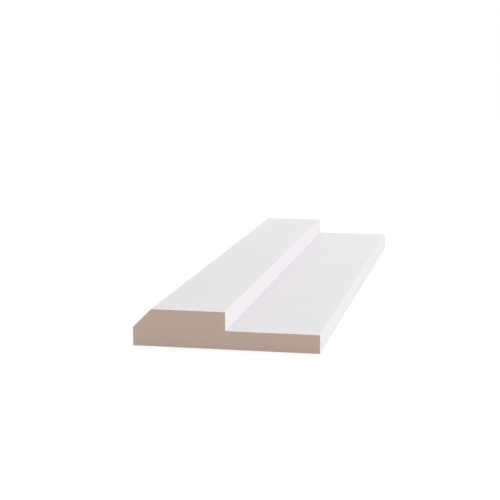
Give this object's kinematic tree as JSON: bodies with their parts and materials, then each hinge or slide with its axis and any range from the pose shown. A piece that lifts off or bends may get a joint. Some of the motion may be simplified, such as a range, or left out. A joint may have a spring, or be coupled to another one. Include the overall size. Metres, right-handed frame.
{
  "type": "stepped moulding",
  "caption": "Straight length of primed MDF moulding with a flat back, a raised band with a chamfered outer edge, and a thin flange beside a square step. Trims walls and openings.",
  "frame": {"origin": "middle of the flat back face", "axes": "+Z out of the back towards the moulding's face, +Y along its length, +X from the chamfered edge to the flange's edge"},
  "size_m": [0.09, 0.3, 0.018],
  "materials": {
    "primed_mdf": "MDF with a smooth, matt white primer on the long faces; the cut ends are raw brown MDF"
  },
  "bodies": {
    "root": {"stepped_moulding": "primed_mdf"}
  },
  "joints": []
}
